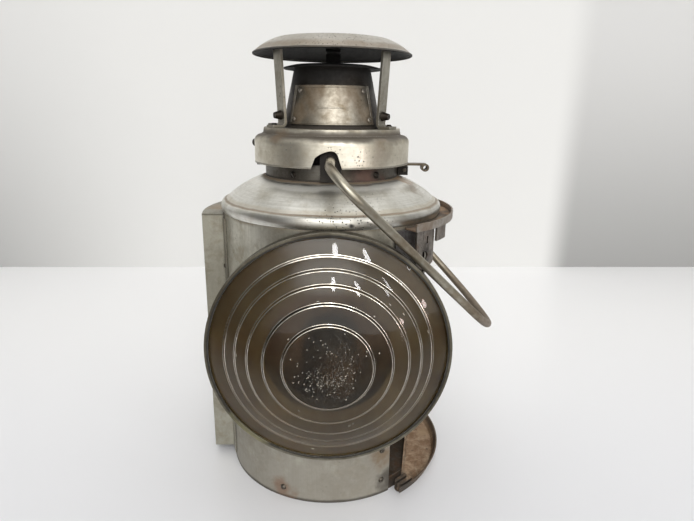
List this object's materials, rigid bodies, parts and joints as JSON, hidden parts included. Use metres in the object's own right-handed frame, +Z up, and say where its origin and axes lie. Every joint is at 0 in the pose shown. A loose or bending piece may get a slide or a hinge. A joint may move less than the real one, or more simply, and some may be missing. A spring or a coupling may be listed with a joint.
{
  "type": "oil signal lamp",
  "caption": "Cylindrical plated-steel oil signal lamp with a large stepped lens, hinged lid with capped chimney, wire bail, sliding side door and wick burner.",
  "frame": {"origin": "centre of the round base, on the surface the lamp stands on", "axes": "+Z up the body's axis; the lens faces -Y; the doorway faces +X and the jacket -X"},
  "size_m": [0.192, 0.1879, 0.2778],
  "materials": {
    "plated_steel": "aged satin plating",
    "dark_steel": "tarnished",
    "rusty_steel": "rust stained",
    "brass": "dull",
    "lens_glass": "clear, stepped",
    "wire_steel": "drawn wire",
    "wick_cotton": "woven"
  },
  "bodies": {
    "housing": {"body_shell": "plated_steel", "base_pan": "plated_steel", "shoulder_dome": "plated_steel", "neck_ring": "plated_steel", "lens_hood": "plated_steel", "lens_retainer": "plated_steel", "lens_bezel": "plated_steel", "base_rail": "plated_steel", "door_post": "plated_steel", "jamb_strip": "plated_steel", "door_catch": "plated_steel", "door_guide": "plated_steel", "jacket_shell": "plated_steel", "jacket_top_plate": "plated_steel", "jacket_end_plate": "plated_steel", "bail_ear_front": "plated_steel", "bail_ear_rear": "plated_steel", "hinge_bracket": "plated_steel", "latch_bracket": "plated_steel", "fount_tank": "plated_steel", "filler_cap": "plated_steel", "neck_screws": "dark_steel", "body_rivets": "dark_steel", "hinge_pin": "dark_steel", "latch_pin": "dark_steel", "sill_tray": "rusty_steel", "top_tray": "rusty_steel", "burner_collar": "brass", "burner_gallery": "brass", "wick_tube": "brass", "draft_cone": "brass", "front_lens": "lens_glass"},
    "lid": {"lid_collar": "plated_steel", "chimney_cone": "plated_steel", "chimney_flange": "plated_steel", "blank_plate": "plated_steel", "plate_rivets": "dark_steel", "cap_leg_1": "plated_steel", "cap_leg_2": "plated_steel", "cap_leg_3": "plated_steel", "leg_rivets": "dark_steel", "cap_dome": "plated_steel", "hinge_strap": "plated_steel"},
    "bail": {"bail": "wire_steel"},
    "latch": {"latch_lever": "plated_steel"},
    "door": {"door_panel": "plated_steel", "door_pull": "plated_steel"},
    "wick_drive": {"wick_shaft": "brass", "wick_knob": "brass"},
    "wick": {"wick": "wick_cotton"}
  },
  "joints": [
    {"name": "bail_swing", "type": "hinge", "parent": "housing", "child": "bail", "pos_m": [0, 0, 0.208], "axis": [0, -1, 0], "range_deg": [0, 255]},
    {"name": "lid_hinge", "type": "hinge", "parent": "housing", "child": "lid", "pos_m": [-0.04686, 0.02185, 0.214], "axis": [-0.4226, -0.9063, 0], "range_deg": [0, 90]},
    {"name": "latch_press", "type": "hinge", "parent": "housing", "child": "latch", "pos_m": [0.0463, 0, 0.1993], "axis": [0, 1, 0], "range_deg": [0, 10], "stiffness_Nm_per_rad": 0.1},
    {"name": "door_slide", "type": "hinge", "parent": "housing", "child": "door", "pos_m": [0, 0, 0], "axis": [0, 0, -1], "range_deg": [-32, 77]},
    {"name": "wick_turn", "type": "hinge", "parent": "housing", "child": "wick_drive", "pos_m": [0, 0.0059, 0.06967], "axis": [-1, 0, 0], "range_deg": [-86, 86]},
    {"name": "wick_lift", "type": "slide", "parent": "housing", "child": "wick", "axis": [0, 0, 1], "range_m": [-0.006, 0.006]}
  ],
  "couplings": [
    {"joint": "wick_turn", "follows": "wick_lift", "rad_per_m": 250}
  ]
}
